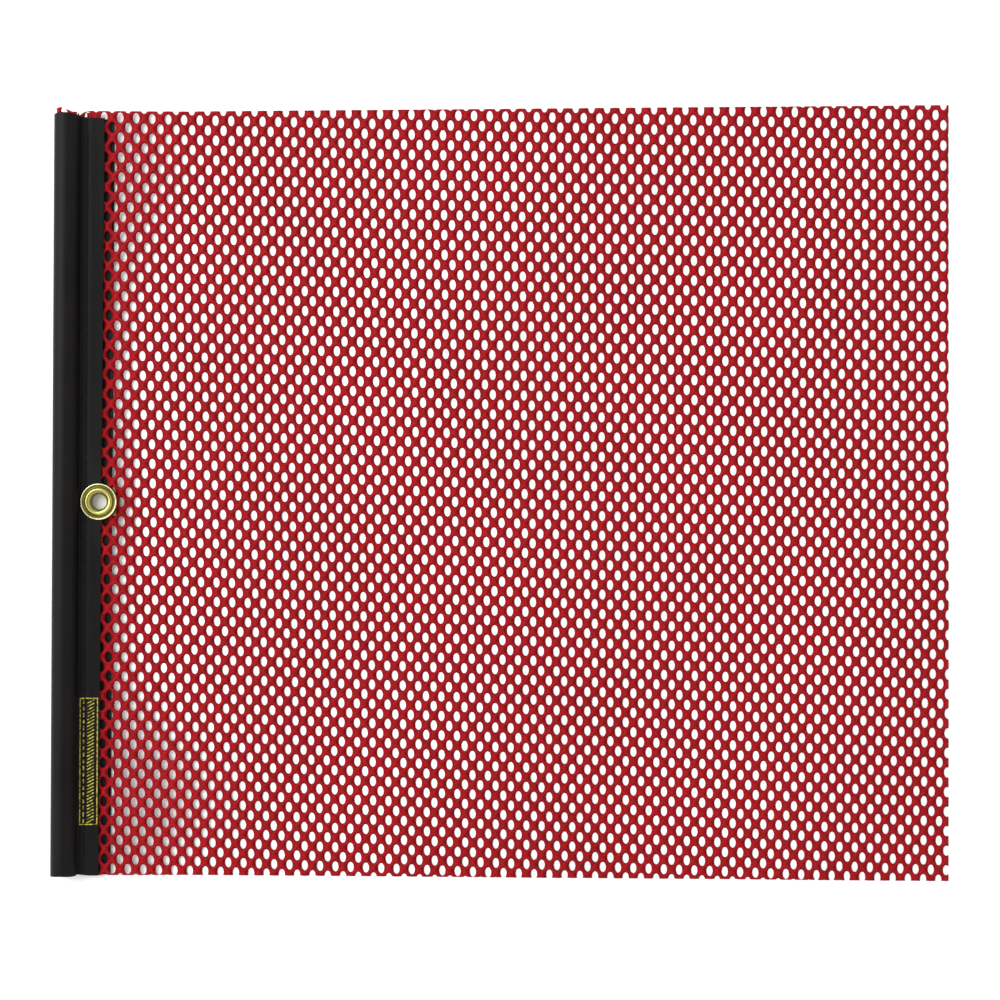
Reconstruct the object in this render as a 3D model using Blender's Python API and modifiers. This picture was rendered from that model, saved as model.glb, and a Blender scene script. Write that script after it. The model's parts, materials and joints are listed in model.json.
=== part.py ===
"""A mesh warning flag lying flat: knitted cloth, a black vinyl hoist sleeve,
a wooden staff in the sleeve's pocket, and one brass grommet.

+X runs from the hoist to the fly, +Y to the head of the hoist, +Z is up.
The origin is at the bottom centre of the whole flag, on the surface it lies on.
All sizes are in metres.
"""
import math

import bmesh
import bpy
from mathutils import Matrix, Vector

# ---------------------------------------------------------------- driving dimensions
CLOTH_HEIGHT_HOIST = 0.4494     # the cloth along its hoist edge
CLOTH_HEIGHT_FLY = 0.4580       # the cloth along its fly edge, where it was cut a little wider
CLOTH_REACH = 0.5190            # from the pocket's axis to the fly edge
CLOTH_THICKNESS = 0.0007        # one layer of the knitted mesh
HOIST_LEAN = math.radians(0.31)  # the hoist leans towards the fly at its head
DRAPE_LENGTH = 0.080            # over which the cloth comes down from the hoist to the surface

SLEEVE_HEAD_MARGIN = 0.0041     # the cloth stands this far past the vinyl at the head
SLEEVE_FOOT_MARGIN = 0.0007     # and this far at the foot
VINYL_THICKNESS = 0.0007
FRONT_LEG_WIDTH = 0.01295       # from the pocket's side to the front leg's edge, halfway along
FRONT_LEG_TAPER = 0.0027        # how much wider that leg is at the head than at the foot
BACK_LEG_WIDTH = 0.01815        # from the pocket's side to the back leg's edge

STAFF_DIAMETER = 0.0111         # seven-sixteenths of an inch
STAFF_RECESS = 0.0060           # from each end of the sleeve to the staff's end
STAFF_CHAMFER = 0.0006
POCKET_CLEARANCE = 0.0003       # radial, between the staff and the cloth round it

GROMMET_FROM_POCKET = 0.0004    # from the pocket's side to the near edge of the grommet's rim
GROMMET_BELOW_MIDDLE = 0.0033   # from the middle of the sleeve down to the grommet's centre
GROMMET_HOLE_RADIUS = 0.00475
GROMMET_RIM_RADIUS = 0.0109
GROMMET_WALL = 0.0005           # the sheet brass of the barrel
GROMMET_CREST_HEIGHT = 0.0016   # the ring that stands highest, above the rim's underside
GROMMET_BEAD_HEIGHT = 0.0011    # the rolled outer edge, above the same underside
GROMMET_CREST_SHARE = 0.38      # where the crest is, from the hole's edge out to the rim's
GROMMET_GROOVE_SHARE = 0.72     # and where the groove between crest and bead is
CLINCH_RADIUS = 0.0072          # the barrel's rolled-over end behind the washer
CLINCH_THICKNESS = 0.0006
WASHER_RADIUS = 0.0118
WASHER_THICKNESS = 0.0008

THREAD_RADIUS = 0.00025
SEAM_FROM_POCKET = 0.00375      # from the pocket's side to the row of lockstitch
SEAM_END_MARGIN = 0.0030        # from each end of the sleeve to the end of the thread

FOLD_FROM_RIM = 0.0068          # from the rim's far edge to the line that the cloth folds on
FOLD_GAP = 0.0024               # from the hem's end to that line, so a folded cloth clears the hem
CLEARANCE = 0.0003              # between neighbours that touch on the real flag

ARC_STEPS = 40                  # steps round a full circle of the pocket
TURNED_STEPS = 48               # steps round the grommet's parts and the staff
THREAD_SIDES = 8
PANEL_STEPS = 64                # strips across the free cloth, for its curve down to the surface

# ---------------------------------------------------------------- worked-out sizes
SLEEVE_HEAD = CLOTH_HEIGHT_HOIST / 2 - SLEEVE_HEAD_MARGIN
SLEEVE_FOOT = -CLOTH_HEIGHT_HOIST / 2 + SLEEVE_FOOT_MARGIN
SLEEVE_LENGTH = SLEEVE_HEAD - SLEEVE_FOOT
SLEEVE_MIDDLE = (SLEEVE_HEAD + SLEEVE_FOOT) / 2

POCKET_RADIUS = STAFF_DIAMETER / 2 + POCKET_CLEARANCE
HEM_RADIUS = POCKET_RADIUS + CLOTH_THICKNESS
VINYL_MID_RADIUS = HEM_RADIUS + CLEARANCE + VINYL_THICKNESS / 2
BULB_RADIUS = VINYL_MID_RADIUS + VINYL_THICKNESS / 2

# Distances to the right of the pocket's axis.
FRONT_LEG_EDGE = BULB_RADIUS + FRONT_LEG_WIDTH
BACK_LEG_EDGE = BULB_RADIUS + BACK_LEG_WIDTH
SEAM_FROM_AXIS = BULB_RADIUS + SEAM_FROM_POCKET
GROMMET_FROM_AXIS = BULB_RADIUS + GROMMET_FROM_POCKET + GROMMET_RIM_RADIUS
FOLD_FROM_AXIS = GROMMET_FROM_AXIS + GROMMET_RIM_RADIUS + FOLD_FROM_RIM

# The stack of layers beside the pocket, from the surface upwards.
WASHER_BOTTOM = CLINCH_THICKNESS + CLEARANCE
WASHER_TOP = WASHER_BOTTOM + WASHER_THICKNESS
BACK_LEG_BOTTOM = WASHER_TOP + CLEARANCE
BACK_LEG_MIDDLE = BACK_LEG_BOTTOM + VINYL_THICKNESS / 2
HEM_BOTTOM = BACK_LEG_BOTTOM + VINYL_THICKNESS + CLEARANCE
HEM_TOP = HEM_BOTTOM + 2 * CLOTH_THICKNESS
HEM_MIDDLE = (HEM_BOTTOM + HEM_TOP) / 2
FRONT_LEG_MIDDLE = HEM_TOP + CLEARANCE + VINYL_THICKNESS / 2
FRONT_LEG_TOP = FRONT_LEG_MIDDLE + VINYL_THICKNESS / 2
RIM_BOTTOM = FRONT_LEG_TOP + CLEARANCE

# The pocket's axis, placed so that the whole flag is centred on the origin.
LEAN_OFFSET = -SLEEVE_FOOT * math.sin(HOIST_LEAN)
OVERALL_LENGTH = BULB_RADIUS + LEAN_OFFSET + CLOTH_REACH
AXIS_X = OVERALL_LENGTH / 2 - CLOTH_REACH
GROMMET_AT = (GROMMET_FROM_AXIS, SLEEVE_MIDDLE - GROMMET_BELOW_MIDDLE, 0.0)


# ---------------------------------------------------------------- helpers
def clear_scene():
    for item in list(bpy.data.objects):
        bpy.data.objects.remove(item, do_unlink=True)


def make_collection(name):
    group = bpy.data.collections.new(name)
    bpy.context.scene.collection.children.link(group)
    return group


def make_material(name, colour, roughness, metallic=0.0):
    material = bpy.data.materials.new(name)
    material.use_nodes = True
    shader = material.node_tree.nodes["Principled BSDF"]
    shader.inputs["Base Color"].default_value = (*colour, 1.0)
    shader.inputs["Roughness"].default_value = roughness
    shader.inputs["Metallic"].default_value = metallic
    material.diffuse_color = (*colour, 1.0)
    return material


def add_object(name, data, group, parent, location=(0.0, 0.0, 0.0), material=None):
    item = bpy.data.objects.new(name, data)
    group.objects.link(item)
    item.parent = parent
    item.location = location
    if material is not None:
        data.materials.append(material)
    return item


def add_empty(name, group, location, turn=0.0):
    empty = bpy.data.objects.new(name, None)
    group.objects.link(empty)
    empty.empty_display_size = 0.02
    empty.location = location
    empty.rotation_euler = (0.0, 0.0, turn)
    return empty


def circle_arc(radius, centre_z, start, end, steps):
    """Points (across, up) on a circle round the pocket's axis, from one angle to another."""
    points = []
    for step in range(steps + 1):
        angle = start + (end - start) * step / steps
        points.append((radius * math.cos(angle), centre_z + radius * math.sin(angle)))
    return points


def angle_at_height(radius, height):
    """The angle, right of the axis, at which a circle round the pocket reaches a height."""
    return math.asin((height - BULB_RADIUS) / radius)


def turned_mesh(name, profile, group, parent, location, material):
    """A closed profile of (radius, height) points, turned round the vertical."""
    mesh = bpy.data.meshes.new(name)
    shape = bmesh.new()
    corners = [shape.verts.new((radius, 0.0, height)) for radius, height in profile]
    for first, second in zip(corners, corners[1:] + corners[:1]):
        shape.edges.new((first, second))
    shape.to_mesh(mesh)
    shape.free()
    item = add_object(name, mesh, group, parent, location, material)
    screw = item.modifiers.new("turn", "SCREW")
    screw.axis = "Z"
    screw.angle = 2 * math.pi
    screw.steps = TURNED_STEPS
    screw.render_steps = TURNED_STEPS
    screw.use_merge_vertices = True
    screw.merge_threshold = 0.00001
    screw.use_smooth_shade = True
    return item


def cut_with(item, cutter):
    cut = item.modifiers.new("grommet_hole", "BOOLEAN")
    cut.operation = "DIFFERENCE"
    cut.solver = "EXACT"
    cut.object = cutter


# ---------------------------------------------------------------- the pieces
def make_barrel_cutter(group, parent):
    """The hole that the grommet's barrel needs through the vinyl and the cloth."""
    mesh = bpy.data.meshes.new("barrel_cutter")
    shape = bmesh.new()
    radius = GROMMET_HOLE_RADIUS + GROMMET_WALL + CLEARANCE
    bmesh.ops.create_cone(
        shape, cap_ends=True, segments=TURNED_STEPS,
        radius1=radius, radius2=radius, depth=4 * BULB_RADIUS,
    )
    shape.to_mesh(mesh)
    shape.free()
    cutter = add_object("barrel_cutter", mesh, group, parent, GROMMET_AT)
    cutter.hide_render = True
    cutter.display_type = "WIRE"
    return cutter


def make_hoist_sleeve(group, parent, cutter, material):
    """One vinyl strip: along the front, round the pocket, and back underneath."""
    front_angle = angle_at_height(VINYL_MID_RADIUS, FRONT_LEG_MIDDLE)
    back_angle = angle_at_height(VINYL_MID_RADIUS, BACK_LEG_MIDDLE)
    profile = [(FRONT_LEG_EDGE, FRONT_LEG_MIDDLE)]
    profile += circle_arc(
        VINYL_MID_RADIUS, BULB_RADIUS, front_angle, back_angle + 2 * math.pi, ARC_STEPS
    )
    profile.append((BACK_LEG_EDGE, BACK_LEG_MIDDLE))

    mesh = bpy.data.meshes.new("hoist_sleeve")
    shape = bmesh.new()
    foot = [shape.verts.new((across, SLEEVE_FOOT, up)) for across, up in profile]
    edges = [shape.edges.new(pair) for pair in zip(foot, foot[1:])]
    grown = bmesh.ops.extrude_edge_only(shape, edges=edges)
    head = [part for part in grown["geom"] if isinstance(part, bmesh.types.BMVert)]
    bmesh.ops.translate(shape, verts=head, vec=(0.0, SLEEVE_LENGTH, 0.0))
    for vert in shape.verts:
        if vert.co.z > BACK_LEG_MIDDLE and vert.co.x > FRONT_LEG_EDGE - CLEARANCE:
            along = (vert.co.y - SLEEVE_MIDDLE) / SLEEVE_LENGTH
            vert.co.x += FRONT_LEG_TAPER * along
    bmesh.ops.recalc_face_normals(shape, faces=shape.faces)
    shape.to_mesh(mesh)
    shape.free()

    sleeve = add_object("hoist_sleeve", mesh, group, parent, material=material)
    wall = sleeve.modifiers.new("wall", "SOLIDIFY")
    wall.thickness = VINYL_THICKNESS
    wall.offset = 0.0
    wall.use_even_offset = True
    cut_with(sleeve, cutter)
    return sleeve


def make_mesh_hem(group, parent, cutter, material):
    """The cloth inside the sleeve: a loop round the staff and its two layers side by side."""
    front_angle = angle_at_height(HEM_RADIUS, HEM_TOP)
    back_angle = angle_at_height(HEM_RADIUS, HEM_BOTTOM)
    hem_end = FOLD_FROM_AXIS - FOLD_GAP
    outline = [(hem_end, HEM_TOP)]
    outline += circle_arc(
        HEM_RADIUS, BULB_RADIUS, front_angle, back_angle + 2 * math.pi, ARC_STEPS
    )
    outline.append((hem_end, HEM_BOTTOM))
    pocket = circle_arc(POCKET_RADIUS, BULB_RADIUS, 0.0, 2 * math.pi, ARC_STEPS)[:-1]

    curve = bpy.data.curves.new("hem_outline", "CURVE")
    curve.dimensions = "2D"
    curve.fill_mode = "BOTH"
    curve.extrude = CLOTH_HEIGHT_HOIST / 2
    for ring in (outline, pocket):
        spline = curve.splines.new("POLY")
        spline.points.add(len(ring) - 1)
        spline.use_cyclic_u = True
        for point, (across, up) in zip(spline.points, ring):
            point.co = (across, up, 0.0, 1.0)
    flat = add_object("hem_outline", curve, group, None)

    depsgraph = bpy.context.evaluated_depsgraph_get()
    mesh = bpy.data.meshes.new_from_object(flat.evaluated_get(depsgraph))
    bpy.data.objects.remove(flat, do_unlink=True)
    shape = bmesh.new()
    shape.from_mesh(mesh)
    bmesh.ops.remove_doubles(shape, verts=shape.verts, dist=0.00001)
    stand_up = Matrix.Rotation(math.pi / 2, 3, "X")
    bmesh.ops.rotate(shape, verts=shape.verts, cent=(0.0, 0.0, 0.0), matrix=stand_up)
    shape.to_mesh(mesh)
    shape.free()

    hem = add_object("mesh_hem", mesh, group, parent, material=material)
    cut_with(hem, cutter)
    return hem


def make_mesh_panel(group, parent, fold_at, material):
    """The free cloth, from the fold line down to the surface and out to the fly edge."""
    bpy.ops.mesh.primitive_grid_add(x_subdivisions=PANEL_STEPS, y_subdivisions=2, size=1.0)
    panel = bpy.context.active_object
    panel.name = "mesh_panel"
    panel.data.name = "mesh_panel"
    for owner in list(panel.users_collection):
        owner.objects.unlink(panel)
    group.objects.link(panel)
    panel.parent = parent
    rest_height = CLOTH_THICKNESS / 2 - HEM_MIDDLE
    fly_x = OVERALL_LENGTH / 2 - fold_at.x
    for vert in panel.data.vertices:
        share = vert.co.x + 0.5
        half_height = CLOTH_HEIGHT_HOIST / 2
        half_height += share * (CLOTH_HEIGHT_FLY - CLOTH_HEIGHT_HOIST) / 2
        along = 2 * vert.co.y * half_height
        hoist_x = (along - fold_at.y) * math.tan(HOIST_LEAN)
        across = hoist_x + share * (fly_x - hoist_x)
        reach = min((across - hoist_x) / DRAPE_LENGTH, 1.0)
        drop = reach * reach * (3.0 - 2.0 * reach)
        vert.co = (across, along - fold_at.y, rest_height * drop)
    panel.data.materials.append(material)
    wall = panel.modifiers.new("cloth", "SOLIDIFY")
    wall.thickness = CLOTH_THICKNESS
    wall.offset = 0.0
    return panel


def make_staff(group, parent, material):
    """The dowel in the pocket, a little shorter than the sleeve."""
    mesh = bpy.data.meshes.new("staff_rod")
    shape = bmesh.new()
    radius = STAFF_DIAMETER / 2
    bmesh.ops.create_cone(
        shape, cap_ends=True, segments=TURNED_STEPS, radius1=radius, radius2=radius,
        depth=SLEEVE_LENGTH - 2 * STAFF_RECESS,
        matrix=Matrix.Rotation(math.pi / 2, 4, "X"),
    )
    shape.to_mesh(mesh)
    shape.free()
    staff = add_object(
        "staff_rod", mesh, group, parent, (0.0, SLEEVE_MIDDLE, BULB_RADIUS), material
    )
    chamfer = staff.modifiers.new("chamfer", "BEVEL")
    chamfer.width = STAFF_CHAMFER
    chamfer.segments = 1
    chamfer.limit_method = "ANGLE"
    chamfer.angle_limit = math.radians(60)
    return staff


def make_eyelet(group, parent, material):
    """The front half of the grommet: rolled rim, barrel, and the end clinched over."""
    hole = GROMMET_HOLE_RADIUS
    barrel = hole + GROMMET_WALL
    rim = GROMMET_RIM_RADIUS
    crest = RIM_BOTTOM + GROMMET_CREST_HEIGHT
    bead = RIM_BOTTOM + GROMMET_BEAD_HEIGHT
    crest_radius = hole + GROMMET_CREST_SHARE * (rim - hole)
    groove_radius = hole + GROMMET_GROOVE_SHARE * (rim - hole)
    roll = (CLINCH_RADIUS - hole) / 4
    profile = [
        (crest_radius, crest),
        (crest_radius + roll, crest - GROMMET_WALL / 2),
        (groove_radius, bead - GROMMET_WALL),
        (rim - 2 * GROMMET_WALL, bead),
        (rim - GROMMET_WALL, bead),
        (rim, bead - GROMMET_WALL),
        (rim, RIM_BOTTOM + GROMMET_WALL / 2),
        (rim - GROMMET_WALL / 2, RIM_BOTTOM),
        (barrel, RIM_BOTTOM),
        (barrel, CLINCH_THICKNESS),
        (CLINCH_RADIUS - roll, CLINCH_THICKNESS),
        (CLINCH_RADIUS, CLINCH_THICKNESS / 2),
        (CLINCH_RADIUS - roll, 0.0),
        (hole + roll, 0.0),
        (hole, roll),
        (hole, RIM_BOTTOM),
        (hole + roll, crest - GROMMET_WALL),
        (crest_radius - roll / 2, crest),
    ]
    return turned_mesh("grommet_eyelet", profile, group, parent, GROMMET_AT, material)


def make_washer(group, parent, material):
    """The back half of the grommet: a ring that the clinched barrel holds on."""
    inner = GROMMET_HOLE_RADIUS + GROMMET_WALL + CLEARANCE
    edge = WASHER_THICKNESS / 3
    profile = [
        (inner, WASHER_TOP),
        (WASHER_RADIUS - edge, WASHER_TOP),
        (WASHER_RADIUS, WASHER_TOP - edge),
        (WASHER_RADIUS, WASHER_BOTTOM + edge),
        (WASHER_RADIUS - edge, WASHER_BOTTOM),
        (inner, WASHER_BOTTOM),
    ]
    return turned_mesh("grommet_washer", profile, group, parent, GROMMET_AT, material)


def make_threads(side, height, cover_radius, group, parent, material):
    """One side of the lockstitch: a thread to the head and one to the foot of the grommet.

    The grommet's rim or washer, of the given radius, crushes the stretch between them.
    """
    beside = GROMMET_AT[0] - SEAM_FROM_AXIS - THREAD_RADIUS
    covered = math.sqrt(max(cover_radius ** 2 - beside ** 2, 0.0)) + CLEARANCE
    runs = {
        "head": (GROMMET_AT[1] + covered, SLEEVE_HEAD - SEAM_END_MARGIN),
        "foot": (SLEEVE_FOOT + SEAM_END_MARGIN, GROMMET_AT[1] - covered),
    }
    for end, (start, stop) in runs.items():
        name = f"{side}_thread_{end}"
        mesh = bpy.data.meshes.new(name)
        shape = bmesh.new()
        bmesh.ops.create_cone(
            shape, cap_ends=True, segments=THREAD_SIDES,
            radius1=THREAD_RADIUS, radius2=THREAD_RADIUS, depth=stop - start,
            matrix=Matrix.Rotation(math.pi / 2, 4, "X"),
        )
        shape.to_mesh(mesh)
        shape.free()
        middle = (SEAM_FROM_AXIS, (start + stop) / 2, height)
        add_object(name, mesh, group, parent, middle, material)


# ---------------------------------------------------------------- the flag
def main():
    clear_scene()
    flag = make_collection("mesh_warning_flag")
    cutters = make_collection("cutters")

    vinyl = make_material("vinyl", (0.012, 0.012, 0.011), 0.42)
    cloth = make_material("cloth", (0.38, 0.016, 0.030), 0.80)
    brass = make_material("brass", (0.60, 0.47, 0.17), 0.25, 1.0)
    wood = make_material("wood", (0.55, 0.40, 0.24), 0.60)
    thread = make_material("thread", (0.015, 0.015, 0.015), 0.70)

    hoist = add_empty("hoist_axis", flag, (AXIS_X, 0.0, 0.0), -HOIST_LEAN)
    lean = Matrix.Rotation(-HOIST_LEAN, 3, "Z")
    fold_at = lean @ Vector((FOLD_FROM_AXIS, 0.0, HEM_MIDDLE)) + Vector((AXIS_X, 0.0, 0.0))
    fold = add_empty("fold_axis", flag, fold_at)

    cutter = make_barrel_cutter(cutters, hoist)
    make_hoist_sleeve(flag, hoist, cutter, vinyl)
    make_mesh_hem(flag, hoist, cutter, cloth)
    make_mesh_panel(flag, fold, fold_at, cloth)
    make_staff(flag, hoist, wood)
    make_eyelet(flag, hoist, brass)
    make_washer(flag, hoist, brass)
    needle_height = FRONT_LEG_TOP + CLEARANCE + THREAD_RADIUS
    make_threads("needle", needle_height, GROMMET_RIM_RADIUS, flag, hoist, thread)
    bobbin_height = BACK_LEG_BOTTOM - CLEARANCE - THREAD_RADIUS
    make_threads("bobbin", bobbin_height, WASHER_RADIUS, flag, hoist, thread)


main()
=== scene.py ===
# %% [markdown]
# # A mesh warning flag
#
# The flag is a sheet of open knitted mesh with a black vinyl sleeve along one edge, the hoist.
# A wooden staff fills the sleeve's round pocket and a brass grommet goes through its flat flange.
# It lies on a white table and is seen from straight above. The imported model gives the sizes,
# places and moving bodies, and this lesson dresses it: knitted cloth with every hole, folded and
# stitched vinyl, spun brass and turned wood.

# %% Load the frame
import json
import math

import bpy
import numpy as np
from mathutils import Matrix, Vector
from mathutils.bvhtree import BVHTree


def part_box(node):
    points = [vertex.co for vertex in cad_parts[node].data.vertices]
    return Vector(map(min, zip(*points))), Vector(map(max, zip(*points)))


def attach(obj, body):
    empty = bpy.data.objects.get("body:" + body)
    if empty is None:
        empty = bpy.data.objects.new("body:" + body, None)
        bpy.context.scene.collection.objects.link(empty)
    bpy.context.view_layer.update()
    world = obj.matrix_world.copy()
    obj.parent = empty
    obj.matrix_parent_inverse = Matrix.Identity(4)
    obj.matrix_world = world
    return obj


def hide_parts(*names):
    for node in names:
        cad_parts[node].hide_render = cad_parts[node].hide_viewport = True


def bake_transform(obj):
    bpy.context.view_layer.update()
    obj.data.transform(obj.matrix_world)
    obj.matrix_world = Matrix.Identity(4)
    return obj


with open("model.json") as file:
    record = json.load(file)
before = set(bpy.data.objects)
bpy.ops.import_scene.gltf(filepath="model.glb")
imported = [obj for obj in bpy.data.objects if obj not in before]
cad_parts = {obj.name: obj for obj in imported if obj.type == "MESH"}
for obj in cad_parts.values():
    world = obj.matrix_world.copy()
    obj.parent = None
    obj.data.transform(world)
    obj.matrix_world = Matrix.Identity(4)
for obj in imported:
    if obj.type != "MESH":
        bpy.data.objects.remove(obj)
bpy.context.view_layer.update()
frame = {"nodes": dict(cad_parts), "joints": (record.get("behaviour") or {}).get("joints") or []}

MM = 0.001
scene = bpy.context.scene

# %% [markdown]
# ## Where the hoist is
#
# The hoist leans a fraction of a degree, because the cloth was cut slightly wider at the fly. The
# staff slides along that lean, so its joint's axis gives the direction, and the middle of the
# staff's box gives the place. Everything on the hoist is made in "hoist coordinates": across the
# hoist from the staff's axis, along it, and up. One matrix then puts it into the row frame.

# %% The hoist's own coordinates
joints = {joint["name"]: joint for joint in frame["joints"]}
along_hoist = Vector(joints["staff_slide"]["axis"]).normalized()
staff_low, staff_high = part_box("staff_rod")
staff_middle = (staff_low + staff_high) / 2
across_hoist = along_hoist.cross(Vector((0.0, 0.0, 1.0)))
hoist_to_row = Matrix((
    (across_hoist.x, along_hoist.x, 0.0, staff_middle.x),
    (across_hoist.y, along_hoist.y, 0.0, staff_middle.y),
    (0.0, 0.0, 1.0, 0.0),
    (0.0, 0.0, 0.0, 1.0),
))
row_to_hoist = hoist_to_row.inverted()


# %% Sizes read from the frame
def in_hoist(node):
    """A hoist node's lowest and highest corners, in hoist coordinates, its lean taken out."""
    points = [row_to_hoist @ vert.co for vert in frame["nodes"][node].data.vertices]
    low = Vector([min(point[k] for point in points) for k in range(3)])
    high = Vector([max(point[k] for point in points) for k in range(3)])
    return low, high


sleeve_low, sleeve_high = in_hoist("hoist_sleeve")
hem_low, hem_high = in_hoist("mesh_hem")
eyelet_low, eyelet_high = in_hoist("grommet_eyelet")
washer_low, washer_high = in_hoist("grommet_washer")
seam_low, seam_high = in_hoist("needle_thread_head")
staff_radius = (staff_high.z - staff_low.z) / 2
staff_height = staff_middle.z
bulb_radius = sleeve_high.z / 2
cloth_thickness = 0.7 * MM
vinyl_thickness = 0.7 * MM
grommet_at = (eyelet_low + eyelet_high) / 2
seam_across = (seam_low.x + seam_high.x) / 2
print("bulb radius", round(bulb_radius / MM, 2), "grommet at", [round(c / MM, 2) for c in grommet_at])

# %% [markdown]
# ## Small helpers
#
# Colours are written as the sRGB hex values that a colour picker shows, and one function turns
# them to the linear light that shaders use. One function adds a node with its settings and links.


# %% Colour and nodes
def linear(hex_colour):
    """An sRGB hex colour as linear RGBA."""
    parts = [int(hex_colour[k:k + 2], 16) / 255 for k in (0, 2, 4)]
    return tuple(c / 12.92 if c <= 0.04045 else ((c + 0.055) / 1.055) ** 2.4 for c in parts) + (1.0,)


def add_node(tree, kind, inputs=None, **settings):
    """A new node; an input is given a value, or linked if it is another node's output."""
    node = tree.nodes.new(kind)
    for name, value in settings.items():
        setattr(node, name, value)
    for name, value in (inputs or {}).items():
        if isinstance(value, bpy.types.NodeSocket):
            tree.links.new(value, node.inputs[name])
        else:
            node.inputs[name].default_value = value
    return node


def new_material(name, **settings):
    """A material with a Principled shader, its plain sockets set by name."""
    material = bpy.data.materials.new(name)
    material.use_nodes = True
    shader = material.node_tree.nodes["Principled BSDF"]
    for socket, value in settings.items():
        shader.inputs[socket.replace("_", " ")].default_value = value
    return material, material.node_tree, shader


def colour_ramp(tree, factor, stops):
    """A colour ramp from (position, hex) stops."""
    ramp = add_node(tree, "ShaderNodeValToRGB", {"Fac": factor})
    elements = ramp.color_ramp.elements
    while len(elements) < len(stops):
        elements.new(0.5)
    for element, (position, hex_colour) in zip(elements, stops):
        element.position = position
        element.color = linear(hex_colour)
    return ramp.outputs["Color"]


def noise(tree, place, scale, detail):
    """Fractal noise, its blots about one over the scale across, in metres."""
    settings = {"Vector": place, "Scale": scale, "Detail": detail}
    return add_node(tree, "ShaderNodeTexNoise", settings).outputs["Fac"]


def add_bump(tree, shader, height, distance, strength):
    """Bumps the shader's normal by a height; distance is the height's size in metres."""
    bump = add_node(tree, "ShaderNodeBump", {"Height": height, "Distance": distance, "Strength": strength})
    tree.links.new(bump.outputs["Normal"], shader.inputs["Normal"])


def object_coordinates(tree):
    return add_node(tree, "ShaderNodeTexCoord").outputs["Object"]


# %% Making and finishing pieces
def deselect_all():
    if bpy.context.mode != "OBJECT":
        bpy.ops.object.mode_set(mode="OBJECT")
    bpy.ops.object.select_all(action="DESELECT")


def use_alone(piece):
    """Selects one piece and makes it active, so that operators act on it only."""
    deselect_all()
    piece.select_set(True)
    bpy.context.view_layer.objects.active = piece


def edit_all():
    """Goes into edit mode with the whole of the active piece selected."""
    bpy.ops.object.mode_set(mode="EDIT")
    bpy.ops.mesh.select_all(action="SELECT")


def piece_from_arrays(name, points, faces):
    """A mesh piece from points and faces."""
    mesh = bpy.data.meshes.new(name)
    mesh.from_pydata([tuple(point) for point in points], [], [tuple(face) for face in faces])
    piece = bpy.data.objects.new(name, mesh)
    scene.collection.objects.link(piece)
    return piece


def get_points(piece):
    flat = np.empty(len(piece.data.vertices) * 3)
    piece.data.vertices.foreach_get("co", flat)
    return flat.reshape(-1, 3)


def set_points(piece, points):
    piece.data.vertices.foreach_set("co", np.asarray(points, float).ravel())
    piece.data.update()


def apply_modifiers(piece):
    use_alone(piece)
    for modifier in list(piece.modifiers):
        bpy.ops.object.modifier_apply(modifier=modifier.name)


def shade(piece, angle=None):
    """Shades a piece smooth, but keeps the edges sharper than the angle, if one is given."""
    use_alone(piece)
    if angle is None:
        bpy.ops.object.shade_smooth()
    else:
        bpy.ops.object.shade_smooth_by_angle(angle=math.radians(angle))


def finish_piece(piece, material, to_row=True):
    """Puts a hoist piece in its place in the row frame and gives it its material."""
    if to_row:
        piece.data.transform(hoist_to_row)
    piece.data.materials.clear()
    piece.data.materials.append(material)
    piece.data.calc_loop_triangles()
    print(piece.name, len(piece.data.loop_triangles), "triangles")


# %% [markdown]
# ## Camera, table and light
#
# The camera hangs straight above the flag, its picture's top towards the hoist's head. The table
# top is white, and three soft boxes stand round it: a strong one on the hoist's side and two faint
# ones on the fly's side. The studio's walls are bright and its ceiling is dimmer, as over a copy
# stand. So shadows are soft, and flat vinyl and brass have something darker above to reflect.

# %% The camera
CAMERA_HEIGHT = 0.850
CAMERA_LENS = 51.8                      # with a 36 mm sensor, 591 mm across at the table
CAMERA_OFFSET = Vector((-0.8, -4.1)) * MM
camera_data = bpy.data.cameras.new("camera")
camera_data.lens = CAMERA_LENS
camera = bpy.data.objects.new("camera", camera_data)
camera.location = (CAMERA_OFFSET.x, CAMERA_OFFSET.y, CAMERA_HEIGHT)
scene.collection.objects.link(camera)
scene.camera = camera
scene.view_settings.view_transform = "Standard"

# %% The table
TABLE_SIZE = 4.0
deselect_all()
bpy.ops.mesh.primitive_plane_add(size=TABLE_SIZE)
table = bpy.context.active_object
table.name = "table"
# The top is a hard white laminate with a matt face, so it gives almost no glare.
table_white = new_material(
    "white_laminate", Base_Color=linear("F4F4F3"), Roughness=0.6, Specular_IOR_Level=0.2
)[0]
table.data.materials.append(table_white)

# %% The lights
WALLS = 1.0
CEILING = 0.45
CEILING_STARTS = 0.84        # where level is 0 and straight up is 1
CEILING_FULL = 0.95
world = bpy.data.worlds.new("studio")
world.use_nodes = True
sky = world.node_tree
direction = add_node(sky, "ShaderNodeTexCoord").outputs["Generated"]
upwards = add_node(sky, "ShaderNodeSeparateXYZ", {"Vector": direction}).outputs["Z"]
brightness = add_node(
    sky, "ShaderNodeMapRange",
    {
        "Value": upwards, "From Min": CEILING_STARTS, "From Max": CEILING_FULL,
        "To Min": WALLS, "To Max": CEILING,
    },
).outputs["Result"]
sky.links.new(brightness, sky.nodes["Background"].inputs["Strength"])
sky.nodes["Background"].inputs["Color"].default_value = linear("FFFFFF")
scene.world = world


def soft_box(name, location, size, power):
    """A square area light, its side in metres and its power in watts, aimed at the flag."""
    light = bpy.data.lights.new(name, "AREA")
    light.size = size
    light.energy = power
    lamp = bpy.data.objects.new(name, light)
    lamp.location = location
    lamp.rotation_euler = (-Vector(location)).to_track_quat("-Z", "Y").to_euler()
    scene.collection.objects.link(lamp)


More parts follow.
